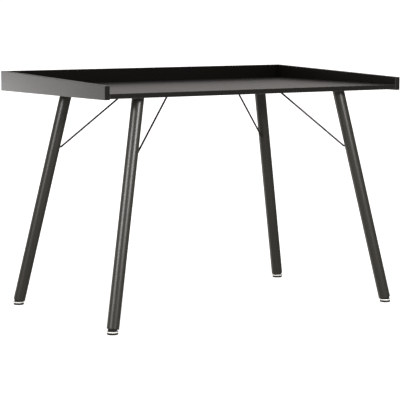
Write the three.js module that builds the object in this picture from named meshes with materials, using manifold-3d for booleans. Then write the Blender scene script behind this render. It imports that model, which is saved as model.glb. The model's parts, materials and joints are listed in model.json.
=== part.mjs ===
// Writing desk: a board top with a tapering gallery round its back and sides, on four splayed round legs.
// Millimetres. X runs along the width, Y towards the back, Z up. The origin: floor, under the middle.
import * as THREE from 'three';
import { mergeVertices } from 'three/addons/utils/BufferGeometryUtils.js';
import Module from 'manifold-3d';

const wasm = await Module();
wasm.setup();

// ---- driving dimensions ----
const DESK_WIDTH = 1160;
const DESK_DEPTH = 700;
const WORKTOP_HEIGHT = 750;
const TOP_THICKNESS = 16;
const GALLERY_THICKNESS = 18;
const GALLERY_FRONT_RISE = 25; // above the worktop, at the front ends of the side panels
const GALLERY_BACK_RISE = 47; // above the worktop, along the back rail
const GALLERY_DROP = 3; // how far the gallery boards hang below the top's underside
const EDGE_EASE = 1;
const FIT_GAP = 0.3; // between neighbours that touch

const LEG_DIAMETER = 39.5;
const LEG_WALL = 1.5;
const LEG_TOP = { x: 397, y: 232 }; // the leg line at the underside, from the middle of the leg frame
const LEG_FOOT = { x: 547, y: 319 }; // the same line at the floor
const LEG_FRAME_Y = -12; // the leg frame sits a little forward of the boards' middle
const LEG_END_HEIGHT = 16; // the middle of the leg's lower end above the floor

const DOWEL = { diameter: 8, length: 30, inPanel: 10 };
const SIDE_DOWEL_Y = [-250, 230];
const BACK_DOWEL_X = [-350, 350];
const CORNER_DOWEL_RISE = 27; // above the worktop

const PLATE = { diameter: 78, thickness: 3, screwCircle: 30, screwAngles: [60, 180, 300] };
const PLATE_SCREW = { head: 8, shank: 4, headDepth: 2.2, length: 14 };
const BRACE_SCREW = { head: 7.6, shank: 4, headHeight: 2.4, edge: 1, reach: 12 };
const DRIVE_DIMPLE = { radius: 1.8, depth: 1.2 }; // for the driver, in each screw's head
const SCREW_POINT = 2;

// legDrop and reach place the rod below and inwards of the leg's top; the lower bend starts just off the leg.
const BRACE = {
  diameter: 6.2,
  bendRadius: 10,
  legDrop: 193,
  depthInLeg: 12,
  holeRoom: 0.4,
  bendFromLeg: 3,
  reach: 203,
  endFlat: 14,
};
const BRACE_TAB = { width: 14, thickness: 2.5, overlap: 10, screwFromEnd: 9 };

// Heights in the foot are above the floor.
const STEM_MEETS_LEG = 7; // the upright stem's line crosses the leg line at this height
const PLUG = { depth: 22, hubRadius: 15, bottom: 10.3, fit: 0.35 };
const SLEEVE = { diameter: 12, bottom: 10.8, top: 25.8 };
const STEM = { diameter: 8, top: 38, topEase: 1, headRadius: 7, headBottom: 3.2, headTop: 5.2 };
const CUP = {
  radius: 19,
  baseRadius: 16.5,
  bottom: 5.8,
  flareTop: 7,
  rimTop: 9.4,
  face: 10,
  lip: 10.6,
  lipWidth: 1.6,
};
const PAD = { radius: 17.75, height: 5.5, edgeRadius: 1.5 };

const ROUND_SIDES = 12;
const LEG_SIDES = 32;
const ROD_SIDES = 8;
const BEND_STEPS = 4;

// ---- derived places ----
const UNDERSIDE = WORKTOP_HEIGHT - TOP_THICKNESS;
const GALLERY_BOTTOM = UNDERSIDE - GALLERY_DROP;
const HALF_WIDTH = DESK_WIDTH / 2;
const HALF_DEPTH = DESK_DEPTH / 2;
const INNER_X = HALF_WIDTH - GALLERY_THICKNESS;
const INNER_Y = HALF_DEPTH - GALLERY_THICKNESS;
const SPREAD = Math.hypot(LEG_FOOT.x - LEG_TOP.x, LEG_FOOT.y - LEG_TOP.y);
const LEG_TILT = Math.atan2(SPREAD, UNDERSIDE);
const LEG_RADIUS = LEG_DIAMETER / 2;

const COLOURS = {
  lacquer: { color: 0x262624, roughness: 0.38, metalness: 0 },
  legCoat: { color: 0x33332e, roughness: 0.42, metalness: 0.3 },
  beech: { color: 0xb88d5e, roughness: 0.7, metalness: 0 },
  blackSteel: { color: 0x1d1d1c, roughness: 0.45, metalness: 0.6 },
  zinc: { color: 0x8d8f92, roughness: 0.4, metalness: 1 },
  nickel: { color: 0xc9c7c2, roughness: 0.18, metalness: 1 },
  plastic: { color: 0x1c1c1c, roughness: 0.7, metalness: 0 },
};

// ---- solids ----

// A closed geometry as a solid that can be joined and cut.
function solidOf(geometry) {
  const bare = geometry.clone();
  bare.deleteAttribute('normal');
  bare.deleteAttribute('uv');
  const merged = mergeVertices(bare, 1e-4);
  const corners = [];
  for (let i = 0; i < merged.index.count; i += 3) {
    const [a, b, c] = [0, 1, 2].map((k) => merged.index.getX(i + k));
    if (a !== b && b !== c && c !== a) corners.push(a, b, c);
  }
  return new wasm.Manifold(new wasm.Mesh({
    numProp: 3,
    vertProperties: Float32Array.from(merged.attributes.position.array),
    triVerts: Uint32Array.from(corners),
  }));
}

function geometryOf(solid) {
  const mesh = solid.getMesh();
  const geometry = new THREE.BufferGeometry();
  geometry.setAttribute('position', new THREE.BufferAttribute(Float32Array.from(mesh.vertProperties), 3));
  geometry.setIndex(new THREE.BufferAttribute(Uint32Array.from(mesh.triVerts), 1));
  geometry.computeVertexNormals();
  return geometry;
}

// One geometry with others joined to it, and others then cut from it.
function shaped(geometry, { joined = [], cut = [] }) {
  let solid = solidOf(geometry);
  for (const piece of joined) solid = solid.add(solidOf(piece));
  for (const piece of cut) solid = solid.subtract(solidOf(piece));
  return geometryOf(solid);
}

// A round bar from one point to another.
function bar(start, end, diameter, sides = ROUND_SIDES) {
  const from = new THREE.Vector3(...start);
  const run = new THREE.Vector3(...end).sub(from);
  const geometry = new THREE.CylinderGeometry(diameter / 2, diameter / 2, run.length(), sides);
  geometry.translate(0, run.length() / 2, 0);
  const turn = new THREE.Quaternion().setFromUnitVectors(new THREE.Vector3(0, 1, 0), run.clone().normalize());
  geometry.applyQuaternion(turn);
  geometry.translate(from.x, from.y, from.z);
  return geometry;
}

// A turned piece about Z, from [radius, height] points that run up its outside.
function turned(profile, sides = ROUND_SIDES) {
  const points = profile.map(([radius, height]) => new THREE.Vector2(radius, height));
  const geometry = new THREE.LatheGeometry(points, sides);
  geometry.rotateX(Math.PI / 2);
  return geometry;
}

// A flat board from an outline, its edges eased, thick along Z.
function board(outline, thickness) {
  const shape = new THREE.Shape(outline.map(([x, y]) => new THREE.Vector2(x, y)));
  const geometry = new THREE.ExtrudeGeometry(shape, {
    depth: thickness - 2 * EDGE_EASE,
    bevelEnabled: true,
    bevelThickness: EDGE_EASE,
    bevelSize: EDGE_EASE,
    bevelOffset: -EDGE_EASE,
    bevelSegments: 1,
    curveSegments: 1,
  });
  geometry.translate(0, 0, EDGE_EASE);
  return geometry;
}

function rectangle(x0, y0, x1, y1) {
  return [[x0, y0], [x1, y0], [x1, y1], [x0, y1]];
}

function piece(name, geometry, finish) {
  const mesh = new THREE.Mesh(geometry, new THREE.MeshStandardMaterial(COLOURS[finish]));
  mesh.name = name;
  return mesh;
}

// ---- the four corners' places ----
const CORNERS = [];
for (const [depthName, toBack] of [['front', -1], ['back', 1]]) {
  for (const [sideName, toRight] of [['left', -1], ['right', 1]]) {
    CORNERS.push({
      name: `${depthName}_${sideName}`,
      x: toRight * LEG_TOP.x,
      y: LEG_FRAME_Y + toBack * LEG_TOP.y,
      heading: Math.atan2(toBack * (LEG_FOOT.y - LEG_TOP.y), toRight * (LEG_FOOT.x - LEG_TOP.x)),
    });
  }
}

// Puts a geometry made about one corner, with X pointing along the leg's splay, in its place under the top.
function atCorner(geometry, corner) {
  geometry.rotateZ(corner.heading);
  geometry.translate(corner.x, corner.y, UNDERSIDE);
  return geometry;
}

// Where the screws go through each plate, about the corner.
const plateScrewPlaces = PLATE.screwAngles.map((angle) => {
  const turn = THREE.MathUtils.degToRad(angle);
  return [PLATE.screwCircle * Math.cos(turn), PLATE.screwCircle * Math.sin(turn)];
});
const braceScrewX = -(BRACE.reach + BRACE.endFlat + BRACE_TAB.screwFromEnd);

// ---- dowels ----

// Each dowel's two ends, by name.
function dowelLines() {
  const lines = [];
  const middle = UNDERSIDE + TOP_THICKNESS / 2;
  const inBoard = DOWEL.length - DOWEL.inPanel;
  for (const [sideName, side] of [['left', -1], ['right', 1]]) {
    const outer = side * (INNER_X + DOWEL.inPanel);
    const inner = side * (INNER_X - inBoard);
    SIDE_DOWEL_Y.forEach((y, i) => {
      lines.push({ name: `side_dowel_${sideName}_${i + 1}`, ends: [[inner, y, middle], [outer, y, middle]] });
    });
    const cornerZ = WORKTOP_HEIGHT + CORNER_DOWEL_RISE;
    const cornerY = HALF_DEPTH - GALLERY_THICKNESS / 2;
    const cornerEnds = [[inner, cornerY, cornerZ], [outer, cornerY, cornerZ]];
    lines.push({ name: `corner_dowel_${sideName}`, ends: cornerEnds });
  }
  BACK_DOWEL_X.forEach((x, i) => {
    const ends = [[x, INNER_Y - inBoard, middle], [x, INNER_Y + DOWEL.inPanel, middle]];
    lines.push({ name: `back_dowel_${i + 1}`, ends });
  });
  return lines;
}

const dowels = dowelLines();

// The holes for all the dowels: as the dowels, with room round them and past their ends.
function dowelHoles() {
  return dowels.map(({ ends }) => {
    const [start, end] = ends.map((point) => new THREE.Vector3(...point));
    const past = end.clone().sub(start).setLength(FIT_GAP);
    return bar(start.sub(past).toArray(), end.add(past).toArray(), DOWEL.diameter + 2 * FIT_GAP);
  });
}

// ---- boards ----

function tabletop() {
  const outline = rectangle(-INNER_X + FIT_GAP, -HALF_DEPTH, INNER_X - FIT_GAP, INNER_Y - FIT_GAP);
  const slab = board(outline, TOP_THICKNESS);
  slab.translate(0, 0, UNDERSIDE);
  const holes = dowelHoles();
  for (const corner of CORNERS) {
    const plateHoleTop = PLATE_SCREW.length - PLATE.thickness;
    const places = plateScrewPlaces.map(([x, y]) => [x, y, plateHoleTop]);
    places.push([braceScrewX, 0, BRACE_SCREW.reach]);
    for (const [x, y, top] of places) {
      const hole = bar([x, y, -1], [x, y, top + FIT_GAP], PLATE_SCREW.shank + 2 * FIT_GAP, ROD_SIDES);
      holes.push(atCorner(hole, corner));
    }
  }
  return shaped(slab, { cut: holes });
}

function backRail() {
  const height = WORKTOP_HEIGHT + GALLERY_BACK_RISE - GALLERY_BOTTOM;
  const slab = board(rectangle(-INNER_X + FIT_GAP, 0, INNER_X - FIT_GAP, height), GALLERY_THICKNESS);
  slab.rotateX(Math.PI / 2);
  slab.translate(0, HALF_DEPTH, GALLERY_BOTTOM);
  return shaped(slab, { cut: dowelHoles() });
}

function sidePanel(side) {
  const frontHeight = WORKTOP_HEIGHT + GALLERY_FRONT_RISE - GALLERY_BOTTOM;
  const backHeight = WORKTOP_HEIGHT + GALLERY_BACK_RISE - GALLERY_BOTTOM;
  const outline = [[-HALF_DEPTH, 0], [HALF_DEPTH, 0], [HALF_DEPTH, backHeight], [-HALF_DEPTH, frontHeight]];
  const slab = board(outline, GALLERY_THICKNESS);
  // The outline's X becomes the desk's Y, its Y becomes Z, and the thickness runs along the desk's X.
  slab.rotateX(Math.PI / 2);
  slab.rotateZ(Math.PI / 2);
  slab.translate(side > 0 ? INNER_X : -HALF_WIDTH, 0, GALLERY_BOTTOM);
  return shaped(slab, { cut: dowelHoles() });
}

// ---- one corner's pieces: the origin is the leg line's top at the underside, X points along the splay ----

const PLATE_TOP = -FIT_GAP;
const PLATE_BOTTOM = PLATE_TOP - PLATE.thickness;
const LEG_CUT = PLATE_BOTTOM - FIT_GAP;
const LEG_LENGTH = (UNDERSIDE - LEG_END_HEIGHT) / Math.cos(LEG_TILT);
const BRACE_LEG_FACE = BRACE.legDrop * Math.tan(LEG_TILT) - LEG_RADIUS / Math.cos(LEG_TILT);

// The countersunk screw, or the hole for it when room is given.
function plateScrew(room = 0) {
  const seat = PLATE_BOTTOM;
  const point = seat + PLATE_SCREW.length;
  const head = PLATE_SCREW.head / 2 + room;
  const shank = PLATE_SCREW.shank / 2 + room;
  const middle = room > 0
    ? [[0, seat - 1], [head, seat - 1]]
    : [[0, seat + DRIVE_DIMPLE.depth], [DRIVE_DIMPLE.radius, seat]];
  return turned([
    ...middle,
    [head, seat],
    [shank, seat + PLATE_SCREW.headDepth],
    [shank, point - SCREW_POINT],
    [0, point],
  ], ROD_SIDES);
}

// The round plate welded to the leg's top.
function legPlate() {
  const disc = bar([0, 0, PLATE_BOTTOM], [0, 0, PLATE_TOP], PLATE.diameter, LEG_SIDES);
  const holes = plateScrewPlaces.map(([x, y]) => plateScrew(FIT_GAP).translate(x, y, 0));
  return shaped(disc, { cut: holes });
}

// A block that takes away everything above a level, tilted about Y.
function blockAbove(level, tilt) {
  const size = 4 * LEG_DIAMETER;
  const block = new THREE.BoxGeometry(size, size, size);
  block.translate(0, 0, size / 2 + level);
  block.rotateY(tilt);
  return block;
}

// The leg's tube along the leg line: cut level under the plate, square at its foot, with the brace's hole.
function leg() {
  const tube = bar([0, 0, -LEG_LENGTH], [0, 0, LEG_RADIUS], LEG_DIAMETER, LEG_SIDES);
  const bore = bar([0, 0, -LEG_LENGTH - 1], [0, 0, LEG_DIAMETER], LEG_DIAMETER - 2 * LEG_WALL, LEG_SIDES);
  const braceHole = bar(
    [BRACE_LEG_FACE - BRACE.bendRadius, 0, -BRACE.legDrop],
    [BRACE_LEG_FACE + BRACE.depthInLeg, 0, -BRACE.legDrop],
    BRACE.diameter + 2 * BRACE.holeRoom,
    ROD_SIDES,
  );
  braceHole.rotateY(LEG_TILT);
  return shaped(tube, { cut: [bore, blockAbove(LEG_CUT, LEG_TILT), braceHole] });
}

// A rod's middle line. Its parameter counts the stations given, so the bends can have more of them.
class RodLine extends THREE.Curve {
  constructor(stations) {
    super();
    this.stations = stations;
  }

  getPoint(t) {
    return this.stations[Math.round(t * (this.stations.length - 1))].clone();
  }

  getPointAt(u) {
    return this.getPoint(u);
  }

  getTangentAt(u) {
    const last = this.stations.length - 1;
    const i = Math.round(u * last);
    const before = this.stations[Math.max(0, i - 1)];
    const after = this.stations[Math.min(last, i + 1)];
    return after.clone().sub(before).normalize();
  }
}

// Stations along a bend of the given radius at a corner between two others, in the XZ plane.
function bendStations(before, corner, after, radius) {
  const back = before.clone().sub(corner).normalize();
  const on = after.clone().sub(corner).normalize();
  const half = back.angleTo(on) / 2;
  const middle = back.clone().add(on).setLength(radius / Math.sin(half)).add(corner);
  const start = back.multiplyScalar(radius / Math.tan(half)).add(corner);
  const sweep = Math.PI - 2 * half;
  const side = Math.sign(new THREE.Vector3().crossVectors(corner.clone().sub(before), on).y);
  const stations = [];
  for (let i = 0; i <= BEND_STEPS; i += 1) {
    const turn = new THREE.Quaternion().setFromAxisAngle(
      new THREE.Vector3(0, side, 0), (sweep * i) / BEND_STEPS);
    stations.push(start.clone().sub(middle).applyQuaternion(turn).add(middle));
  }
  return stations;
}

// The rod runs level out of the leg, slants up to the underside and ends in a flat tab with a screw hole.
function brace() {
  const radius = BRACE.diameter / 2;
  const rodTop = -FIT_GAP - radius;
  const inLeg = new THREE.Vector3(BRACE_LEG_FACE + BRACE.depthInLeg, 0, -BRACE.legDrop);
  const lower = new THREE.Vector3(BRACE_LEG_FACE - BRACE.bendFromLeg, 0, -BRACE.legDrop);
  const upper = new THREE.Vector3(-BRACE.reach, 0, rodTop);
  const end = new THREE.Vector3(-BRACE.reach - BRACE.endFlat, 0, rodTop);
  const line = new RodLine([
    inLeg,
    ...bendStations(inLeg, lower, upper, BRACE.bendRadius),
    ...bendStations(lower, upper, end, BRACE.bendRadius),
    end,
  ]);
  const section = new THREE.Shape().absarc(0, 0, radius, 0, 2 * Math.PI);
  const rod = new THREE.ExtrudeGeometry(section, {
    extrudePath: line,
    steps: line.stations.length - 1,
    curveSegments: ROD_SIDES,
    bevelEnabled: false,
  });
  const half = BRACE_TAB.width / 2;
  const tabStart = end.x + BRACE_TAB.overlap;
  const outline = new THREE.Shape();
  outline.moveTo(tabStart, -half);
  outline.lineTo(tabStart, half);
  outline.lineTo(braceScrewX, half);
  outline.absarc(braceScrewX, 0, half, Math.PI / 2, 1.5 * Math.PI, false);
  const tab = new THREE.ExtrudeGeometry(outline, {
    depth: BRACE_TAB.thickness,
    bevelEnabled: false,
    curveSegments: ROD_SIDES,
  });
  tab.translate(0, 0, -FIT_GAP - BRACE_TAB.thickness);
  const hole = bar([braceScrewX, 0, -2 * BRACE_TAB.thickness], [braceScrewX, 0, 1],
    BRACE_SCREW.shank + 2 * FIT_GAP, ROD_SIDES);
  return shaped(rod, { joined: [tab], cut: [hole] });
}

function braceScrew() {
  const under = -BRACE_TAB.thickness - 2 * FIT_GAP;
  const bottom = under - BRACE_SCREW.headHeight;
  const head = BRACE_SCREW.head / 2;
  const shank = BRACE_SCREW.shank / 2;
  return turned([
    [0, bottom + DRIVE_DIMPLE.depth],
    [DRIVE_DIMPLE.radius, bottom],
    [head - BRACE_SCREW.edge, bottom],
    [head, bottom + BRACE_SCREW.edge],
    [head, under],
    [shank, under],
    [shank, BRACE_SCREW.reach - SCREW_POINT],
    [0, BRACE_SCREW.reach],
  ], ROD_SIDES);
}

// ---- one foot's pieces: the origin is on the floor under the upright stem, X points along the splay ----

// The plastic plug: its body fits inside the tube, and its hub below the tube's end turns the tilt upright.
function legPlug() {
  const endX = -(LEG_END_HEIGHT - STEM_MEETS_LEG) * Math.tan(LEG_TILT);
  const radius = LEG_RADIUS - LEG_WALL - PLUG.fit;
  const body = bar([0, 0, 0], [0, 0, PLUG.depth], 2 * radius, LEG_SIDES);
  body.rotateY(-LEG_TILT);
  body.translate(endX, 0, LEG_END_HEIGHT);
  const overEnd = blockAbove(PLUG.fit, -LEG_TILT);
  overEnd.translate(endX, 0, LEG_END_HEIGHT);
  const hubBar = bar([0, 0, PLUG.bottom], [0, 0, LEG_DIAMETER], 2 * PLUG.hubRadius, LEG_SIDES);
  const hub = shaped(hubBar, { cut: [overEnd] });
  const pocket = bar([0, 0, 0], [0, 0, SLEEVE.top + FIT_GAP], SLEEVE.diameter + 2 * FIT_GAP);
  const stemHole = bar([0, 0, 0], [0, 0, 2 * STEM.top], STEM.diameter + 2 * FIT_GAP);
  return shaped(body, { joined: [hub], cut: [pocket, stemHole] });
}

// A plain sleeve held in the plug, threaded inside on the real piece.
function plugSleeve() {
  const inner = STEM.diameter / 2 + FIT_GAP;
  const outer = SLEEVE.diameter / 2;
  const { bottom, top } = SLEEVE;
  return turned([[inner, bottom], [outer, bottom], [outer, top], [inner, top], [inner, bottom]]);
}

// The upright stem, with a flat head that the cup and the pad hold between them.
function glideStem() {
  const radius = STEM.diameter / 2;
  return turned([
    [0, STEM.headBottom],
    [STEM.headRadius, STEM.headBottom],
    [STEM.headRadius, STEM.headTop],
    [radius, STEM.headTop],
    [radius, STEM.top - STEM.topEase],
    [radius - STEM.topEase, STEM.top],
    [0, STEM.top],
  ]);
}

// The bright cup: a flared rim with a low lip round a flat face, and a hole for the stem.
function glideCup() {
  const hole = STEM.diameter / 2 + FIT_GAP;
  const lipMiddle = CUP.radius - CUP.lipWidth / 2;
  const lipEdge = CUP.lipWidth / 4;
  return turned([
    [hole, CUP.bottom],
    [CUP.baseRadius, CUP.bottom],
    [lipMiddle, CUP.flareTop],
    [CUP.radius, CUP.rimTop],
    [lipMiddle + lipEdge, CUP.lip],
    [lipMiddle - lipEdge, CUP.lip],
    [CUP.radius - CUP.lipWidth, CUP.face],
    [hole, CUP.face],
    [hole, CUP.bottom],
  ], 2 * ROUND_SIDES);
}

// The pad under the cup, rounded at its lower edge, with a recess in its top for the stem's head.
function glidePad() {
  const edge = PAD.edgeRadius;
  const corner = [270, 300, 330, 360].map((angle) => {
    const turn = THREE.MathUtils.degToRad(angle);
    return [PAD.radius - edge + edge * Math.cos(turn), edge + edge * Math.sin(turn)];
  });
  const recess = STEM.headRadius + FIT_GAP;
  const recessFloor = STEM.headBottom - FIT_GAP;
  return turned([
    [0, 0],
    ...corner,
    [PAD.radius, PAD.height],
    [recess, PAD.height],
    [recess, recessFloor],
    [0, recessFloor],
  ], 2 * ROUND_SIDES);
}

function cornerGroup({ name, x, y, heading }) {
  const group = new THREE.Group();
  group.position.set(x, y, UNDERSIDE);
  group.rotation.z = heading;
  group.add(piece(`leg_plate_${name}`, legPlate(), 'blackSteel'));
  plateScrewPlaces.forEach(([screwX, screwY], i) => {
    const screw = piece(`plate_screw_${name}_${i + 1}`, plateScrew(), 'zinc');
    screw.position.set(screwX, screwY, 0);
    group.add(screw);
  });
  group.add(piece(`brace_${name}`, brace(), 'blackSteel'));
  const screw = piece(`brace_screw_${name}`, braceScrew(), 'zinc');
  screw.position.x = braceScrewX;
  group.add(screw);

  const legTube = piece(`leg_${name}`, leg(), 'legCoat');
  legTube.rotation.y = -LEG_TILT;
  group.add(legTube);

  const foot = new THREE.Group();
  foot.position.set((UNDERSIDE - STEM_MEETS_LEG) * Math.tan(LEG_TILT), 0, -UNDERSIDE);
  foot.add(piece(`leg_plug_${name}`, legPlug(), 'plastic'));
  foot.add(piece(`plug_sleeve_${name}`, plugSleeve(), 'zinc'));
  foot.add(piece(`glide_stem_${name}`, glideStem(), 'zinc'));
  foot.add(piece(`glide_cup_${name}`, glideCup(), 'nickel'));
  foot.add(piece(`glide_pad_${name}`, glidePad(), 'plastic'));
  group.add(foot);
  return group;
}

// ---- the desk ----
const desk = new THREE.Group();
desk.add(piece('tabletop', tabletop(), 'lacquer'));
desk.add(piece('back_rail', backRail(), 'lacquer'));
desk.add(piece('side_panel_left', sidePanel(-1), 'lacquer'));
desk.add(piece('side_panel_right', sidePanel(1), 'lacquer'));
for (const { name, ends } of dowels) desk.add(piece(name, bar(...ends, DOWEL.diameter), 'beech'));
for (const corner of CORNERS) desk.add(cornerGroup(corner));

export default desk;
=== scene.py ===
"""A writing desk: lacquered boards with a raised gallery, on four splayed legs with rod braces and glides."""

import json
import math

import bmesh
import bpy
from mathutils import Matrix, Vector

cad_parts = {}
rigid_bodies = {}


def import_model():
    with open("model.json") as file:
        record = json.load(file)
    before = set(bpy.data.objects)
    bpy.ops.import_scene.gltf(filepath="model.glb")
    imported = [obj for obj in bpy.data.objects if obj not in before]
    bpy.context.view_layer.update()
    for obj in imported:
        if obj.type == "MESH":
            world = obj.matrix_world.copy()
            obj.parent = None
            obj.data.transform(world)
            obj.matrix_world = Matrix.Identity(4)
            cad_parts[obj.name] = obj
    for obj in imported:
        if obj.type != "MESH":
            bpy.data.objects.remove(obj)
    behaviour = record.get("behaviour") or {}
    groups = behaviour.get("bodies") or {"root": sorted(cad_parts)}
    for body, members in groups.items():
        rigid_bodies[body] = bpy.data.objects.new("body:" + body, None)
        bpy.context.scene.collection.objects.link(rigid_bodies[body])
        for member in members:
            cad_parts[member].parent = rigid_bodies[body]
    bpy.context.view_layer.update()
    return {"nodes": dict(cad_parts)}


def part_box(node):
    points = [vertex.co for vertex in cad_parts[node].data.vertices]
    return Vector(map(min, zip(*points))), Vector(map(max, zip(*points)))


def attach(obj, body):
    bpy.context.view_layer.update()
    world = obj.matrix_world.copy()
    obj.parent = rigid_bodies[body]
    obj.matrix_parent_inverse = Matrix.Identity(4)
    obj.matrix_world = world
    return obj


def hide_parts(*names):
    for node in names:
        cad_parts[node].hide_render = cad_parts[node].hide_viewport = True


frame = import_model()

MM = 0.001
CORNERS = ("front_left", "front_right", "back_left", "back_right")

# ---- sizes, in metres ----
EDGE_EASE = 1.0 * MM  # the boards' eased edges

LEG_RADIUS = 19.75 * MM
LEG_WALL = 1.5 * MM
LEG_END_HEIGHT = 16 * MM  # the middle of the leg's lower end above the floor
LEG_END_EASE = 0.5 * MM
STEM_MEETS_LEG = 7 * MM  # the upright stem's line crosses the leg line at this height
FIT_GAP = 0.3 * MM
WELD_LEG = 2.4 * MM  # how far the weld reaches down the tube and out over the plate
WELD_RIPPLES = 44
WELD_RIPPLE_HEIGHT = 0.07  # as a share of the weld

PLATE_RADIUS = 39 * MM
PLATE_THICKNESS = 3 * MM
PLATE_SCREW = {
    "head": 4 * MM,
    "shank": 2 * MM,
    "head_depth": 2.2 * MM,
    "length": 14 * MM,
    "recess": 2.3 * MM,
}
PLATE_SCREW_ROOM = 0.15 * MM
PLATE_SCREW_TURN = 1.9  # radians, from one cross recess to the next

BRACE_RADIUS = 3.1 * MM
BRACE_BEND = 10 * MM
BRACE_DROP = 193 * MM
BRACE_IN_LEG = 12 * MM
BRACE_HOLE_ROOM = 0.4 * MM
BRACE_BEND_FROM_LEG = 3 * MM
BRACE_REACH = 203 * MM
BRACE_LEVEL_END = 7 * MM  # level rod between the upper bend and the flattened part
BRACE_FLATTENING = 9 * MM
TAB_HALF_WIDTH = 7 * MM
TAB_THICKNESS = 2.5 * MM
TAB_END = 233 * MM
BRACE_SCREW = {
    "head": 3.8 * MM,
    "shank": 2 * MM,
    "head_height": 2.4 * MM,
    "reach": 12 * MM,
    "recess": 2.1 * MM,
}
BRACE_SCREW_HOLE = 2.3 * MM
BRACE_SCREW_TURN = 0.4  # radians
SCREW_POINT = 3 * MM
SCREW_PITCH = 1.6 * MM
SCREW_THREAD_DEPTH = 0.5 * MM
SCREW_SIDES = 32
RECESS_DEPTH = 1.5 * MM
RECESS_WIDTH = 0.55 * MM

PLUG_DEPTH = 22 * MM
PLUG_RIBS = 4
PLUG_FIT = 0.35 * MM
PLUG_HUB_RADIUS = 15 * MM
PLUG_BOTTOM = 10.3 * MM
PLUG_HOLE = 4.3 * MM
SLEEVE_POCKET = 6.3 * MM
SLEEVE_TOP = 26.1 * MM

STEM_RADIUS = 4 * MM
STEM_TOP = 38 * MM
STEM_HEAD = {"radius": 7 * MM, "bottom": 3.2 * MM, "top": 5.2 * MM}
THREAD_PITCH = 1.25 * MM
THREAD_STEPS = 8  # rings in one turn of any thread
THREAD_DEPTH = 0.65 * MM

CUP_HOLE = 4.3 * MM
PAD_RADIUS = 17.75 * MM
PAD_HEIGHT = 5.5 * MM
PAD_RECESS = {"radius": 7.3 * MM, "floor": 2.9 * MM}

# ---- places, from the frame ----
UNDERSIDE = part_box("tabletop")[0].z


def middle(node):
    low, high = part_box(node)
    return (low + high) / 2


def corner_place(corner):
    """A corner's own axes: origin where the leg's line meets the underside, X outwards along the splay."""
    top = middle(f"leg_plate_{corner}")
    foot = middle(f"glide_pad_{corner}")
    heading = math.atan2(foot.y - top.y, foot.x - top.x)
    return Matrix.Translation((top.x, top.y, UNDERSIDE)) @ Matrix.Rotation(heading, 4, "Z")


def foot_place(corner):
    """The same axes moved down to the floor, under the upright stem."""
    foot = middle(f"glide_pad_{corner}")
    turn = corner_place(corner).to_euler().to_matrix().to_4x4()
    return Matrix.Translation((foot.x, foot.y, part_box(f"glide_pad_{corner}")[0].z)) @ turn


SPREAD = (middle("glide_pad_front_left") - middle("leg_plate_front_left")).to_2d().length
LEG_TILT = math.atan2(SPREAD, UNDERSIDE - STEM_MEETS_LEG)
LEG_LENGTH = (UNDERSIDE - LEG_END_HEIGHT) / math.cos(LEG_TILT)
LEAN = Matrix.Rotation(-LEG_TILT, 4, "Y")
PLATE_TOP = -FIT_GAP
PLATE_BOTTOM = PLATE_TOP - PLATE_THICKNESS
LEG_CUT = PLATE_BOTTOM - FIT_GAP
BRACE_LEG_FACE = BRACE_DROP * math.tan(LEG_TILT) - LEG_RADIUS / math.cos(LEG_TILT)
BRACE_SCREW_PLACE = middle("brace_screw_front_left")
BRACE_SCREW_X = -(BRACE_SCREW_PLACE - middle("leg_plate_front_left")).to_2d().length


# ---- mesh making ----


def turns(sides):
    return [2 * math.pi * i / sides for i in range(sides)]


def circle(radius, height, sides):
    return [(radius * math.cos(a), radius * math.sin(a), height) for a in turns(sides)]


def loft(name, rings, joined=False, sharp=35):
    """A skin over rings of points. Joined, the last ring meets the first; otherwise both ends are closed."""
    count = len(rings[0])
    points = [point for ring in rings for point in ring]
    pairs = [(i, i + 1) for i in range(len(rings) - 1)]
    if joined:
        pairs.append((len(rings) - 1, 0))
    faces = []
    for low, high in pairs:
        for i in range(count):
            j = (i + 1) % count
            faces.append((low * count + i, low * count + j, high * count + j, high * count + i))
    if not joined:
        faces.append(tuple(range(count)))
        faces.append(tuple((len(rings) - 1) * count + i for i in range(count)))
    return mesh_from(name, points, faces, sharp)


def mesh_from(name, points, faces, sharp=35):
    """A closed mesh with outward faces, smooth except where its faces meet at more than the sharp angle."""
    mesh = bpy.data.meshes.new(name)
    mesh.from_pydata(points, [], faces)
    work = bmesh.new()
    work.from_mesh(mesh)
    bmesh.ops.remove_doubles(work, verts=work.verts, dist=1e-6)
    bmesh.ops.recalc_face_normals(work, faces=work.faces)
    work.to_mesh(mesh)
    work.free()
    finish_normals(mesh, sharp)
    return mesh


def finish_normals(mesh, sharp=35):
    mesh.shade_smooth()
    mesh.set_sharp_from_angle(angle=math.radians(sharp))


def eased(corners, steps=4):
    """An outline of (radius, height) points, from (radius, height, easing) corners that are rounded over."""
    points = []
    count = len(corners)
    for i, (radius, height, easing) in enumerate(corners):
        here = Vector((radius, height))
        if easing == 0:
            points.append(tuple(here))
            continue
        before = Vector(corners[i - 1][:2])
        after = Vector(corners[(i + 1) % count][:2])
        start = here + (before - here).normalized() * easing
        end = here + (after - here).normalized() * easing
        for step in range(steps + 1):
            t = step / steps
            points.append(tuple(start * (1 - t) ** 2 + here * (2 * t * (1 - t)) + end * t**2))
    return points


def turned(name, outline, sides, joined=True, sharp=35):
    """A piece turned about Z, from (radius, height) points."""
    return loft(name, [circle(radius, height, sides) for radius, height in outline], joined, sharp)


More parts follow.
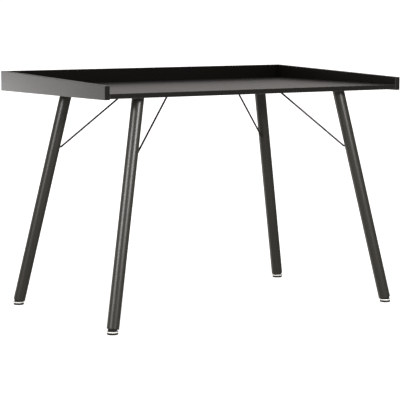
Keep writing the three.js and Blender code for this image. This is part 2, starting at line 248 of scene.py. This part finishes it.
def cut(mesh, *cutters):
    """The mesh with the cutters' shapes taken out of it."""
    scene = bpy.context.scene
    body = bpy.data.objects.new("body", mesh)
    scene.collection.objects.link(body)
    tools = []
    for cutter in cutters:
        tool = bpy.data.objects.new("tool", cutter)
        scene.collection.objects.link(tool)
        tools.append(tool)
        taking = body.modifiers.new("cut", "BOOLEAN")
        taking.operation = "DIFFERENCE"
        taking.solver = "EXACT"
        taking.object = tool
    graph = bpy.context.evaluated_depsgraph_get()
    result = bpy.data.meshes.new_from_object(body.evaluated_get(graph))
    for made in [body, *tools]:
        bpy.data.objects.remove(made)
    result.name = mesh.name
    finish_normals(result)
    return result


def moved(mesh, matrix):
    copy = mesh.copy()
    copy.transform(matrix)
    return copy


def piece(name, mesh, look, place, body, nodes):
    """One visible piece: its own copy of the mesh, in its place, riding on its body."""
    own = mesh.copy()
    own.name = name
    own.transform(place)
    own.materials.clear()
    own.materials.append(look)
    made = bpy.data.objects.new(name, own)
    bpy.context.scene.collection.objects.link(made)
    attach(made, body)
    if nodes:
        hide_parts(*nodes)
    return made


# ---- materials ----


class Value:
    """A number that changes over a surface. Arithmetic on it adds the nodes."""

    def __init__(self, look, socket):
        self.look = look
        self.socket = socket

    def __add__(self, other):
        return self.look.maths("ADD", self, other)

    __radd__ = __add__

    def __sub__(self, other):
        return self.look.maths("SUBTRACT", self, other)

    def __rsub__(self, other):
        return self.look.maths("SUBTRACT", other, self)

    def __mul__(self, other):
        return self.look.maths("MULTIPLY", self, other)

    __rmul__ = __mul__


class Nodes:
    """A tree of nodes to add to."""

    def __init__(self, tree):
        self.tree = tree

    def feed(self, node, values):
        for key, value in values.items():
            socket = next(s for s in node.inputs if key in (s.identifier, s.name))
            if isinstance(value, Value):
                self.tree.links.new(value.socket, socket)
            else:
                socket.default_value = value

    def node(self, kind, settings=None, values=None, output=0):
        """Any node: its settings first, then its sockets' values or links. Gives one of its outputs."""
        node = self.tree.nodes.new(kind)
        for key, value in (settings or {}).items():
            if key == "stops":
                self.set_stops(node.color_ramp, value)
            else:
                setattr(node, key, value)
        self.feed(node, values or {})
        if isinstance(output, int):
            return Value(self, node.outputs[output])
        return Value(self, next(s for s in node.outputs if output in (s.identifier, s.name)))

    def set_stops(self, ramp, stops):
        while len(ramp.elements) < len(stops):
            ramp.elements.new(1)
        for element, (position, grey) in zip(ramp.elements, stops):
            element.position = position
            element.color = (grey, grey, grey, 1)

    def maths(self, operation, first, second):
        node = self.tree.nodes.new("ShaderNodeMath")
        node.operation = operation
        for socket, value in zip(node.inputs, (first, second)):
            if isinstance(value, Value):
                self.tree.links.new(value.socket, socket)
            else:
                socket.default_value = value
        return Value(self, node.outputs[0])


class Look(Nodes):
    """A material, made from its nodes."""

    def __init__(self, name, shader):
        self.material = bpy.data.materials.new(name)
        self.material.use_nodes = True
        super().__init__(self.material.node_tree)
        self.shader = self.tree.nodes["Principled BSDF"]
        self.feed(self.shader, shader)
        self.place = self.node("ShaderNodeTexCoord", output="Object")

    def stretched(self, x, y, z):
        """The surface's place, with a scale of its own along each axis."""
        values = {"Vector": self.place, "Vector_001": (x, y, z)}
        return self.node("ShaderNodeVectorMath", {"operation": "MULTIPLY"}, values)

    def noise(self, scale, detail=2, roughness=0.5, place=None):
        values = {"Vector": place or self.place, "Scale": scale, "Detail": detail, "Roughness": roughness}
        return self.node("ShaderNodeTexNoise", values=values)

    def ramp(self, value, *stops):
        """The value, redrawn through (position, level) stops."""
        return self.node("ShaderNodeValToRGB", {"stops": stops}, {"Fac": value}, "Color")

    def mixed(self, amount, first, second):
        """A colour between two others."""
        values = {"Factor_Float": amount, "A_Color": first, "B_Color": second}
        return self.node("ShaderNodeMix", {"data_type": "RGBA"}, values, "Result_Color")

    def bumped(self, *layers):
        """A normal from (height, distance) layers, the coarsest first."""
        normal = None
        for height, distance in layers:
            values = {"Height": height, "Distance": distance, "Strength": 1.0}
            if normal:
                values["Normal"] = normal
            normal = self.node("ShaderNodeBump", values=values)
        return normal

    def finish(self, colour, roughness, normal):
        self.feed(self.shader, {"Base Color": colour, "Roughness": roughness, "Normal": normal})
        return self.material


def grey(level, warmth=0.0):
    """A near-neutral colour: more warmth takes away blue."""
    return (level * (1 + warmth / 3), level, level * (1 - warmth), 1)


def board_lacquer():
    """Black satin lacquer on board: long faint grain, roller texture, eased edges a shade lighter, partly
    rubbed wear and partly a painted highlight.
    """
    look = Look("board_lacquer", {"IOR": 1.38})
    grain = look.noise(60, 5, 0.6, look.stretched(0.35, 3.2, 3.2))
    pores = look.noise(420, 3, 0.6, look.stretched(0.12, 2.2, 2.2))
    roller = look.noise(900, 2)
    clouds = look.noise(5, 3)
    eased_edge = look.node("ShaderNodeAttribute", {"attribute_name": "eased"}, output="Fac")
    # Eased edges mixed toward a lighter grey: partly rubbed wear, partly a painted highlight along the edges.
    wear_and_highlight = eased_edge * look.ramp(look.noise(90, 4), (0.35, 0.35), (0.7, 1.0))
    tone = look.mixed(grain * 0.6 + clouds * 0.4, grey(0.013, 0.08), grey(0.022, 0.08))
    return look.finish(
        colour=look.mixed(wear_and_highlight, tone, grey(0.11, 0.12)),
        roughness=0.32 + (clouds - 0.5) * 0.05 + (pores - 0.5) * 0.05,
        normal=look.bumped((grain, 0.00003), (pores, 0.000035), (roller, 0.000012)),
    )


def leg_coat():
    """Satin powder coat on steel: the fine pebble of fused powder, with slow changes along the tube."""
    look = Look("leg_coat", {"IOR": 1.5})
    cells = {"Vector": look.place, "Scale": 1400, "Smoothness": 0.6}
    pebble = look.node("ShaderNodeTexVoronoi", {"feature": "SMOOTH_F1"}, cells)
    fine = look.noise(2600, 2)
    slow = look.noise(9, 3, 0.5, look.stretched(1, 1, 0.3))
    return look.finish(
        colour=look.mixed(slow, grey(0.017, 0.22), grey(0.022, 0.22)),
        roughness=0.38 + (slow - 0.5) * 0.06 + (fine - 0.5) * 0.05,
        normal=look.bumped((pebble, 0.00002), (fine, 0.00001)),
    )


def brace_coat():
    """Powder coat on the thin rods and the plates: darker and a little rougher than on the legs."""
    look = Look("brace_coat", {"IOR": 1.5})
    pebble = look.noise(1900, 3)
    slow = look.noise(14, 3)
    return look.finish(
        colour=look.mixed(slow, grey(0.006, 0.05), grey(0.010, 0.05)),
        roughness=0.42 + (slow - 0.5) * 0.1 + (pebble - 0.5) * 0.08,
        normal=look.bumped((pebble, 0.000015)),
    )


def plated(name, colour, roughness, line_depth, metal=1.0):
    """Plated steel: fine turning lines round its axis, and a few dull clouds in the plating."""
    look = Look(name, {"Metallic": metal})
    lines = look.noise(1, 4, 0.7, look.stretched(60, 60, 5200))
    clouds = look.noise(160, 4)
    dull = tuple(c * 0.78 for c in colour[:3]) + (1,)
    return look.finish(
        colour=look.mixed(look.ramp(clouds, (0.4, 0.0), (0.75, 1.0)), colour, dull),
        roughness=roughness + (lines - 0.5) * 0.14 + (clouds - 0.5) * 0.12,
        normal=look.bumped((lines, line_depth)),
    )


def black_plastic():
    """Moulded plastic with a fine spark-eroded skin, a touch greyer where it rubs on the floor."""
    look = Look("black_plastic", {"IOR": 1.4})
    skin = look.noise(2400, 3, 0.6)
    scuffs = look.ramp(look.noise(260, 5, 0.65), (0.52, 0.0), (0.72, 1.0))
    height = look.node("ShaderNodeSeparateXYZ", values={"Vector": look.place}, output="Z")
    worn = scuffs * look.ramp(height * 400, (0.2, 1.0), (1.0, 0.0))
    return look.finish(
        colour=look.mixed(worn, grey(0.006), grey(0.05, 0.1)),
        roughness=0.52 + (skin - 0.5) * 0.12 + worn * 0.2,
        normal=look.bumped((skin, 0.00002)),
    )


def beech():
    """Raw beech: pale grain with short brown flecks."""
    look = Look("beech", {"IOR": 1.45})
    grain = look.noise(180, 4, 0.6, look.stretched(0.3, 1, 1))
    flecks = look.ramp(look.noise(1300, 2), (0.62, 0.0), (0.7, 1.0))
    wood = look.mixed(grain, (0.46, 0.27, 0.13, 1), (0.60, 0.39, 0.21, 1))
    return look.finish(
        colour=look.mixed(flecks * 0.6, wood, (0.30, 0.15, 0.07, 1)),
        roughness=0.62 + (grain - 0.5) * 0.15,
        normal=look.bumped((grain, 0.00005)),
    )


LACQUER = board_lacquer()
LEG_COAT = leg_coat()
BRACE_COAT = brace_coat()
ZINC = plated("zinc", (0.62, 0.63, 0.66, 1), 0.34, 0.00001)
STEM_STEEL = plated("stem_steel", (0.50, 0.50, 0.52, 1), 0.36, 0.000012)
NICKEL = plated("nickel", (0.95, 0.93, 0.89, 1), 0.26, 0.000004, 0.3)
PLASTIC = black_plastic()
BEECH = beech()


# ---- boards ----


def eased_board(name, node, outline, axis, low, high):
    """A board from an outline across one axis. Its edges are eased and marked for the lacquer, which paints
    them lighter with wear and a painted highlight.
    """
    work = bmesh.new()
    ends = []
    for depth in (low, high):
        points = []
        for first, second in outline:
            spot = [first, second]
            spot.insert(axis, depth)
            points.append(work.verts.new(spot))
        ends.append(points)
    count = len(outline)
    work.faces.new(ends[0])
    work.faces.new(ends[1])
    for i in range(count):
        j = (i + 1) % count
        work.faces.new((ends[0][i], ends[0][j], ends[1][j], ends[1][i]))
    bmesh.ops.recalc_face_normals(work, faces=work.faces)
    marks = work.loops.layers.float.new("eased")
    rounding = bmesh.ops.bevel(
        work,
        geom=work.edges[:],
        offset=EDGE_EASE,
        segments=4,
        profile=0.5,
        affect="EDGES",
        clamp_overlap=True,
    )
    for face in rounding["faces"]:
        for loop in face.loops:
            loop[marks] = 1.0
    mesh = bpy.data.meshes.new(name)
    work.to_mesh(mesh)
    work.free()
    mesh.shade_smooth()
    made = piece(name, mesh, LACQUER, Matrix.Identity(4), "root", [node])
    flat = made.modifiers.new("flat faces", "WEIGHTED_NORMAL")
    flat.weight = 100
    return made


def rectangle(low, high):
    return [(low[0], low[1]), (high[0], low[1]), (high[0], high[1]), (low[0], high[1])]


def make_boards():
    low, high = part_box("tabletop")
    eased_board("top_board", "tabletop", rectangle(low.xy, high.xy), 2, low.z, high.z)
    low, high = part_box("back_rail")
    eased_board("rail_board", "back_rail", rectangle(low.xz, high.xz), 1, low.y, high.y)
    for side in ("left", "right"):
        node = f"side_panel_{side}"
        low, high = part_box(node)
        points = [vertex.co for vertex in frame["nodes"][node].data.vertices]
        front_top = max(point.z for point in points if point.y < low.y + 2 * EDGE_EASE)
        outline = [(low.y, low.z), (high.y, low.z), (high.y, high.z), (low.y, front_top)]
        eased_board(f"{side}_board", node, outline, 0, low.x, high.x)


# ---- leg, weld, plate and screws: about the corner ----


def leg_tube():
    outer = LEG_RADIUS
    inner = LEG_RADIUS - LEG_WALL
    end = -LEG_LENGTH
    sides = 96

    def top_ring(radius):
        """Where the tube of this radius meets the level cut under the plate."""
        ring = []
        for x, y, _ in circle(radius, 0, sides):
            ring.append((x, y, (LEG_CUT - x * math.sin(LEG_TILT)) / math.cos(LEG_TILT)))
        return ring

    lower_edge = eased([
        (outer, end + 4 * LEG_END_EASE, 0),
        (outer, end, LEG_END_EASE),
        (inner, end, LEG_END_EASE / 2),
        (inner, end + 4 * LEG_END_EASE, 0),
    ])
    rings = [top_ring(outer)]
    rings += [circle(radius, height, sides) for radius, height in lower_edge]
    rings += [top_ring(inner)]
    tube = loft("leg", rings, joined=True)
    hole_radius = BRACE_RADIUS + BRACE_HOLE_ROOM
    hole = turned("hole", [(hole_radius, 0), (hole_radius, BRACE_BEND + BRACE_IN_LEG)], 32, joined=False)
    start = Matrix.Translation((BRACE_LEG_FACE - BRACE_BEND, 0, -BRACE_DROP))
    level = Matrix.Rotation(math.pi / 2, 4, "Y")
    return cut(tube, moved(hole, LEAN.inverted() @ start @ level))


def weld_bead():
    """The bead between the tube and its plate, rippled by the torch."""
    section = [(1.0, 0.0), (0.80, 0.34), (0.52, 0.66), (0.22, 0.92), (0.0, 1.0), (-0.12, 0.5), (-0.12, 0.0)]
    up = LEAN @ Vector((0, 0, 1))
    rings = []
    for angle in turns(4 * WELD_RIPPLES):
        on_tube = LEAN @ Vector((LEG_RADIUS * math.cos(angle), LEG_RADIUS * math.sin(angle), 0))
        base = on_tube + up * ((PLATE_BOTTOM - on_tube.z) / up.z)
        out = Vector((base.x + PLATE_BOTTOM * math.tan(LEG_TILT), base.y, 0)).normalized()
        size = WELD_LEG * (1 + WELD_RIPPLE_HEIGHT * math.cos(WELD_RIPPLES * angle))
        rings.append([tuple(base + out * size * across - up * size * down) for across, down in section])
    return loft("weld", rings, joined=True, sharp=50)


def threaded_rings(radius, depth, pitch, low, high, sides, taper=0.0):
    """Rings of a thread between two heights. Over the taper at the top the shank narrows to a point."""
    rings = []
    count = max(2, round((high - low) / pitch * THREAD_STEPS))
    for i in range(count + 1):
        height = low + (high - low) * i / count
        fade = min(1.0, (height - low) / pitch, max(0.0, (high - height) / pitch))
        slim = 1.0 if taper == 0 else min(1.0, max(0.06, (high - height) / taper))
        ring = []
        for angle in turns(sides):
            phase = (height / pitch - angle / (2 * math.pi)) % 1
            groove = 1 - abs(2 * phase - 1)
            across = (radius - depth * groove * fade) * slim
            ring.append((across * math.cos(angle), across * math.sin(angle), height))
        rings.append(ring)
    return rings


def screw_thread(radius, low, high):
    return threaded_rings(radius, SCREW_THREAD_DEPTH, SCREW_PITCH, low, high, SCREW_SIDES, SCREW_POINT)


def cross_recess(bottom, reach):
    """The driver's cross, from the head's face upwards, narrowing as it goes in."""
    blades = []
    for heading in (0, math.pi / 2):
        rings = []
        for height, share in ((-1 * MM, 1.0), (0, 1.0), (RECESS_DEPTH, 0.35)):
            half_length = reach * share
            half_width = RECESS_WIDTH * (0.6 + 0.4 * share)
            low = (-half_length, -half_width)
            high = (half_length, half_width)
            rings.append([(x, y, height) for x, y in rectangle(low, high)])
        turn = Matrix.Rotation(heading, 4, "Z")
        blades.append(moved(loft("blade", rings), Matrix.Translation((0, 0, bottom)) @ turn))
    return blades


def plate_screw():
    """A countersunk screw, its head in the plate and its point in the top."""
    seat = PLATE_BOTTOM
    tip = seat + PLATE_SCREW["length"]
    head = PLATE_SCREW["head"]
    shank = PLATE_SCREW["shank"]
    neck = seat + PLATE_SCREW["head_depth"]
    face = ((0.001, 0), (0.96, 0), (1.0, 0.12 * MM))
    rings = [circle(head * share, seat + lift, SCREW_SIDES) for share, lift in face]
    rings += [circle(shank * 1.05, neck, SCREW_SIDES)]
    rings += screw_thread(shank, neck + 0.3 * MM, tip)
    return cut(loft("plate_screw", rings), *cross_recess(seat, PLATE_SCREW["recess"]))


def leg_plate():
    outline = eased([
        (0, PLATE_BOTTOM, 0),
        (PLATE_RADIUS, PLATE_BOTTOM, 0.5 * MM),
        (PLATE_RADIUS, PLATE_TOP, 0.4 * MM),
        (0, PLATE_TOP, 0),
    ])
    disc = turned("leg_plate", outline, 96, joined=False)
    head = PLATE_SCREW["head"] + PLATE_SCREW_ROOM
    shank = PLATE_SCREW["shank"] + 2 * PLATE_SCREW_ROOM
    neck = PLATE_BOTTOM + PLATE_SCREW["head_depth"]
    hole = turned("hole", [
        (head, PLATE_BOTTOM - 1 * MM),
        (head, PLATE_BOTTOM),
        (shank, neck),
        (shank, PLATE_TOP + 1 * MM),
    ], 48, joined=False)
    return cut(disc, *[moved(hole, Matrix.Translation(spot)) for spot in plate_screw_spots()])


def plate_screw_spots():
    """The three screws of one plate, about the corner."""
    back = corner_place("front_left").inverted()
    spots = []
    for i in (1, 2, 3):
        spot = back @ middle(f"plate_screw_front_left_{i}")
        spots.append(Vector((spot.x, spot.y, 0)))
    return spots


# ---- brace ----


def bend(before, corner, after, radius, steps):
    """Points along a bend of the given radius at a corner."""
    back = (before - corner).normalized()
    on = (after - corner).normalized()
    half = back.angle(on) / 2
    middle_of_bend = corner + (back + on).normalized() * (radius / math.sin(half))
    start = corner + back * (radius / math.tan(half))
    arm = start - middle_of_bend
    axis = arm.cross(on)
    sweep = math.pi - 2 * half
    return [middle_of_bend + Matrix.Rotation(sweep * i / steps, 3, axis) @ arm for i in range(steps + 1)]


def brace_rod():
    """The rod: level out of the leg, slanting up to the underside, and pressed flat there for its screw."""
    rod_top = -FIT_GAP - BRACE_RADIUS
    tab_middle = -FIT_GAP - TAB_THICKNESS / 2
    in_leg = Vector((BRACE_LEG_FACE + BRACE_IN_LEG, 0, -BRACE_DROP))
    lower = Vector((BRACE_LEG_FACE - BRACE_BEND_FROM_LEG, 0, -BRACE_DROP))
    upper = Vector((-BRACE_REACH, 0, rod_top))
    flat_start = Vector((-BRACE_REACH - BRACE_LEVEL_END, 0, rod_top))
    line = [in_leg]
    line += bend(in_leg, lower, upper, BRACE_BEND, 10)
    line += bend(lower, upper, flat_start, BRACE_BEND, 10)
    sections = [(point, BRACE_RADIUS, BRACE_RADIUS, 2.0) for point in line]
    steps = 12
    for i in range(steps + 1):
        share = i / steps
        ease = share * share * (3 - 2 * share)
        across = BRACE_RADIUS + (TAB_HALF_WIDTH - BRACE_RADIUS) * ease
        thick = BRACE_RADIUS + (TAB_THICKNESS / 2 - BRACE_RADIUS) * ease
        point = Vector((flat_start.x - BRACE_FLATTENING * share, 0, -FIT_GAP - thick))
        sections.append((point, across, thick, 2 + 3 * ease))
    round_from = -TAB_END + TAB_HALF_WIDTH
    for i in range(1, 13):
        angle = math.pi / 2 * i / 12
        across = max(TAB_HALF_WIDTH * math.cos(angle), 0.4 * MM)
        point = Vector((round_from - TAB_HALF_WIDTH * math.sin(angle), 0, tab_middle))
        thick = TAB_THICKNESS / 2 * (1 if i < 12 else 0.85)
        sections.append((point, across, thick, 5.0))
    rings = []
    for i, (point, across, thick, squareness) in enumerate(sections):
        before = sections[max(0, i - 1)][0]
        after = sections[min(len(sections) - 1, i + 1)][0]
        if i > len(line):
            up = Vector((0, 0, 1))
        else:
            along = (after - before).normalized()
            up = along.cross(Vector((0, 1, 0))).normalized()
            if up.z < 0:
                up = -up
        ring = []
        for angle in turns(40):
            c, s = math.cos(angle), math.sin(angle)
            y = across * math.copysign(abs(c) ** (2 / squareness), c)
            z = thick * math.copysign(abs(s) ** (2 / squareness), s)
            ring.append(tuple(point + Vector((0, y, 0)) + up * z))
        rings.append(ring)
    rod = loft("brace", rings)
    hole = turned("hole", [(BRACE_SCREW_HOLE, -10 * MM), (BRACE_SCREW_HOLE, 10 * MM)], 32, joined=False)
    return cut(rod, moved(hole, Matrix.Translation((BRACE_SCREW_X, 0, 0))))


def brace_screw():
    """A pan-head screw through the rod's flat end."""
    under = -TAB_THICKNESS - 2 * FIT_GAP
    bottom = under - BRACE_SCREW["head_height"]
    head = BRACE_SCREW["head"]
    shank = BRACE_SCREW["shank"]
    dome = eased([
        (0.001 * MM, bottom, 0),
        (head * 0.94, bottom, 1.3 * MM),
        (head, under, 0.25 * MM),
        (shank, under, 0),
    ], 6)
    rings = [circle(radius, height, SCREW_SIDES) for radius, height in dome]
    rings += screw_thread(shank, under + 0.3 * MM, BRACE_SCREW["reach"])
    return cut(loft("brace_screw", rings), *cross_recess(bottom, BRACE_SCREW["recess"]))


# ---- foot: about the floor under the stem ----


def leg_plug():
    """The plug: its body inside the tube leans with it, and its hub below turns the tilt upright."""
    sides = 96
    end = Vector(((STEM_MEETS_LEG - LEG_END_HEIGHT) * math.tan(LEG_TILT), 0, LEG_END_HEIGHT))
    into_tube = Matrix.Translation(end) @ LEAN
    up = LEAN @ Vector((0, 0, 1))
    radius = LEG_RADIUS - LEG_WALL - PLUG_FIT

    def leaning(across, rise):
        return [tuple(into_tube @ Vector(point)) for point in circle(across, rise, sides)]

    def upright(across, rise):
        """An upright cylinder's ring where it meets the body's level at that rise."""
        level = end + up * rise
        ring = []
        for x, y, _ in circle(across, 0, sides):
            ring.append((x, y, (up.dot(level) - up.x * x - up.y * y) / up.z))
        return ring

    rings = [leaning(radius - 0.8 * MM, PLUG_DEPTH), leaning(radius, PLUG_DEPTH - 0.8 * MM)]
    for rib in range(PLUG_RIBS):
        height = PLUG_DEPTH - (3 + 4 * rib) * MM
        rings += [leaning(radius, height), leaning(radius - 0.5 * MM, height - 1.2 * MM)]
    rings += [leaning(radius, 1.2 * MM), leaning(radius, 0.4 * MM), leaning(radius - 0.4 * MM, 0)]
    rings += [upright(PLUG_HUB_RADIUS, 0)]
    hub = eased([
        (PLUG_HUB_RADIUS, PLUG_BOTTOM + 2 * MM, 0),
        (PLUG_HUB_RADIUS, PLUG_BOTTOM, 0.5 * MM),
        (SLEEVE_POCKET, PLUG_BOTTOM, 0.3 * MM),
        (SLEEVE_POCKET, SLEEVE_TOP, 0),
        (PLUG_HOLE, SLEEVE_TOP, 0),
    ])
    rings += [circle(across, height, sides) for across, height in hub]
    rings += [upright(PLUG_HOLE, PLUG_DEPTH)]
    return loft("leg_plug", rings, joined=True)


def glide_stem():
    """The upright threaded stem, with the flat head that the cup and the pad hold between them."""
    sides = 32
    head = eased([
        (0.001 * MM, STEM_HEAD["bottom"], 0),
        (STEM_HEAD["radius"], STEM_HEAD["bottom"], 0.4 * MM),
        (STEM_HEAD["radius"], STEM_HEAD["top"], 0.4 * MM),
        (STEM_RADIUS - THREAD_DEPTH, STEM_HEAD["top"], 0.2 * MM),
        (STEM_RADIUS - THREAD_DEPTH, STEM_HEAD["top"] + 1 * MM, 0),
    ])
    rings = [circle(radius, height, sides) for radius, height in head]
    start = STEM_HEAD["top"] + 1.2 * MM
    rings += threaded_rings(STEM_RADIUS, THREAD_DEPTH, THREAD_PITCH, start, STEM_TOP - 1 * MM, sides)
    rings += [circle(STEM_RADIUS - THREAD_DEPTH, STEM_TOP, sides)]
    return loft("glide_stem", rings, sharp=60)


def glide_cup():
    """The bright pressed cup: a flared rim rolled into a low lip round its flat face."""
    outline = eased([
        (CUP_HOLE, 5.8 * MM, 0),
        (16.5 * MM, 5.8 * MM, 0.7 * MM),
        (18.2 * MM, 7.0 * MM, 0.7 * MM),
        (19.0 * MM, 9.0 * MM, 0.9 * MM),
        (18.7 * MM, 10.6 * MM, 0.5 * MM),
        (17.7 * MM, 10.6 * MM, 0.4 * MM),
        (17.2 * MM, 10.0 * MM, 0.35 * MM),
        (CUP_HOLE, 10.0 * MM, 0.3 * MM),
    ], 6)
    return turned("glide_cup", outline, 128, sharp=50)


def glide_pad():
    """The pad: a rounded lower edge, a shallow groove round it, and a recess for the stem's head."""
    outline = eased([
        (0.001 * MM, 0, 0),
        (PAD_RADIUS - 0.2 * MM, 0, 1.7 * MM),
        (PAD_RADIUS, 3.6 * MM, 0.3 * MM),
        (PAD_RADIUS - 0.35 * MM, 4.0 * MM, 0.2 * MM),
        (PAD_RADIUS, 4.4 * MM, 0.3 * MM),
        (PAD_RADIUS, PAD_HEIGHT, 0.3 * MM),
        (PAD_RECESS["radius"], PAD_HEIGHT, 0.3 * MM),
        (PAD_RECESS["radius"], PAD_RECESS["floor"], 0),
        (0.001 * MM, PAD_RECESS["floor"], 0),
    ], 6)
    return turned("glide_pad", outline, 128, joined=False, sharp=50)


# ---- putting the corners together ----


def make_corners():
    tube = leg_tube()
    bead = weld_bead()
    plate = leg_plate()
    countersunk = plate_screw()
    rod = brace_rod()
    pan_head = brace_screw()
    plug = leg_plug()
    stem = glide_stem()
    cup = glide_cup()
    pad = glide_pad()
    spots = plate_screw_spots()
    for corner in CORNERS:
        place = corner_place(corner)
        foot = foot_place(corner)
        piece(f"tube_{corner}", tube, LEG_COAT, place @ LEAN, "root", [f"leg_{corner}"])
        piece(f"weld_{corner}", bead, BRACE_COAT, place, "root", [])
        piece(f"flange_{corner}", plate, BRACE_COAT, place, "root", [f"leg_plate_{corner}"])
        for i, spot in enumerate(spots, 1):
            there = place @ Matrix.Translation(spot) @ Matrix.Rotation(PLATE_SCREW_TURN * i, 4, "Z")
            node = f"plate_screw_{corner}_{i}"
            piece(f"flange_screw_{corner}_{i}", countersunk, ZINC, there, "root", [node])
        piece(f"rod_{corner}", rod, BRACE_COAT, place, "root", [f"brace_{corner}"])
        there = place @ Matrix.Translation((BRACE_SCREW_X, 0, 0)) @ Matrix.Rotation(BRACE_SCREW_TURN, 4, "Z")
        piece(f"rod_screw_{corner}", pan_head, ZINC, there, "root", [f"brace_screw_{corner}"])
        piece(f"plug_{corner}", plug, PLASTIC, foot, "root", [f"leg_plug_{corner}"])
        stem_body = f"glide_stem_{corner}"
        disc_body = f"glide_disc_{corner}"
        piece(f"stem_{corner}", stem, STEM_STEEL, foot, stem_body, [f"glide_stem_{corner}"])
        piece(f"cup_{corner}", cup, NICKEL, foot, disc_body, [f"glide_cup_{corner}"])
        piece(f"pad_{corner}", pad, PLASTIC, foot, disc_body, [f"glide_pad_{corner}"])


def finish_hidden_nodes():
    """The dowels and the plug sleeves stay as the frame has them, with their own materials."""
    for name, node in frame["nodes"].items():
        if "dowel" in name:
            node.material_slots[0].material = BEECH
        elif "sleeve" in name:
            node.material_slots[0].material = ZINC


# ---- floor, light and camera ----

FLOOR_SIZE = 80
FLOOR_BELOW = 0.5 * MM
FLOOR_GLOW = 0.86
ROOM_SEEN = 1.05
ROOM_LIGHT = 0.17
ROOM_GLOWS = [  # towards, spread in degrees, level
    ((0, 0, 1), 65, 0.9),
    ((-0.47, 0.84, -0.24), 28, 1.65),
    ((0.53, 0.84, 0.06), 28, 0.46),
]
ROOM_TINT = (1.05, 1.0, 0.97, 1)
LEFT_SOFTBOX = {
    "azimuth": 75,
    "elevation": 10.0,
    "distance": 3.2,
    "width": 1.1,
    "height": 0.36,
    "radiance": 50,
}
FRONT_SOFTBOX = {
    "azimuth": 0,
    "elevation": 10.6,
    "distance": 2.6,
    "width": 0.8,
    "height": 0.30,
    "radiance": 80,
}
BACK_SOFTBOX = {
    "azimuth": 149,
    "elevation": -4.0,
    "distance": 2.0,
    "width": 0.8,
    "height": 0.30,
    "radiance": 4,
}
LEGS_AND_FEET = ("tube_", "weld_", "flange_", "rod_", "plug_", "stem_", "cup_", "pad_")
BOARDS = ("top_board", "rail_board", "left_board", "right_board")

CAMERA_PLACE = (-3.189, -4.8577, 1.0286)
CAMERA_HEADING = 32.747  # degrees from +Y towards +X
CAMERA_DIP = 7.110  # degrees below level
SENSOR_WIDTH = 36
FOCAL_LENGTH = 153.729
CAMERA_SHIFT = 0.0375


def make_floor():
    """A pale sheet, lit a little from below as on a light table, so that no shadow shows on it."""
    half = FLOOR_SIZE / 2
    low = -FLOOR_BELOW
    corners = [(-half, -half, low), (half, -half, low), (half, half, low), (-half, half, low)]
    mesh = mesh_from("floor", corners, [(0, 1, 2, 3)])
    look = Look("floor", {"Emission Color": (1, 1, 1, 1), "Emission Strength": FLOOR_GLOW})
    dust = look.noise(3, 3)
    paint = look.mixed(dust, grey(0.86), grey(0.88))
    mesh.materials.append(look.finish(paint, 0.9 + (dust - 0.5) * 0.05, look.bumped((dust, 0.0001))))
    floor = bpy.data.objects.new("floor", mesh)
    bpy.context.scene.collection.objects.link(floor)
    floor.visible_glossy = False


def around(azimuth, elevation):
    """A direction: degrees round from the front (-Y) towards the left (-X), and degrees above level."""
    turn = math.radians(azimuth)
    rise = math.radians(elevation)
    return Vector((-math.sin(turn) * math.cos(rise), -math.cos(turn) * math.cos(rise), math.sin(rise)))


def lit_together(name, beginnings):
    """The pieces that one light reaches, by the beginnings of their names."""
    group = bpy.data.collections.new(name)
    for made in bpy.context.scene.objects:
        if made.name.startswith(beginnings):
            group.objects.link(made)
    return group


def softbox(name, lit, azimuth, elevation, distance, width, height, radiance):
    """A softbox, unseen by the camera and aimed at the underside's middle. It lights some pieces only."""
    target = Vector((0, 0, UNDERSIDE))
    towards = around(azimuth, elevation)
    lamp = bpy.data.lights.new(name, "AREA")
    lamp.shape = "RECTANGLE"
    lamp.size = width
    lamp.size_y = height
    lamp.energy = radiance * math.pi * width * height
    made = bpy.data.objects.new(name, lamp)
    bpy.context.scene.collection.objects.link(made)
    made.location = target + towards * distance
    made.rotation_euler = (-towards).to_track_quat("-Z", "Y").to_euler()
    made.visible_camera = False
    made.light_linking.receiver_collection = lit


def make_light():
    """A room that looks white but lights unevenly: dim in front, brightest low down behind on the left."""
    world = bpy.data.worlds.new("studio")
    bpy.context.scene.world = world
    world.use_nodes = True
    room = Nodes(world.node_tree)
    direction = room.node("ShaderNodeTexCoord", output="Generated")
    light = ROOM_LIGHT
    for towards, spread, level in ROOM_GLOWS:
        values = {"Vector": direction, "Vector_001": towards}
        facing = room.node("ShaderNodeVectorMath", {"operation": "DOT_PRODUCT"}, values, "Value")
        limits = {"Value": facing, "From Min": math.cos(math.radians(spread)), "From Max": 1.0}
        glow = room.node("ShaderNodeMapRange", {"interpolation_type": "SMOOTHSTEP"}, limits, "Result")
        light = glow * level + light
    seen = room.node("ShaderNodeLightPath", output="Is Camera Ray")
    strength = seen * ROOM_SEEN + (1 - seen) * light
    room.feed(room.tree.nodes["Background"], {"Strength": strength, "Color": ROOM_TINT})
    legs_and_feet = lit_together("legs_and_feet", LEGS_AND_FEET)
    boards = lit_together("boards", BOARDS)
    softbox("left_softbox", legs_and_feet, **LEFT_SOFTBOX)
    softbox("front_softbox", legs_and_feet, **FRONT_SOFTBOX)
    softbox("back_softbox", boards, **BACK_SOFTBOX)


def make_camera():
    heading = math.radians(CAMERA_HEADING)
    dip = math.radians(CAMERA_DIP)
    level = math.cos(dip)
    looking = Vector((math.sin(heading) * level, math.cos(heading) * level, -math.sin(dip)))
    lens = bpy.data.cameras.new("camera")
    lens.sensor_width = SENSOR_WIDTH
    lens.lens = FOCAL_LENGTH
    lens.shift_x = CAMERA_SHIFT
    lens.shift_y = CAMERA_SHIFT
    lens.clip_end = 200
    camera = bpy.data.objects.new("camera", lens)
    bpy.context.scene.collection.objects.link(camera)
    camera.location = CAMERA_PLACE
    camera.rotation_mode = "QUATERNION"
    camera.rotation_quaternion = looking.to_track_quat("-Z", "Y")
    bpy.context.scene.camera = camera


make_boards()
make_corners()
finish_hidden_nodes()
make_floor()
make_light()
make_camera()
bpy.context.scene.view_settings.view_transform = "Standard"
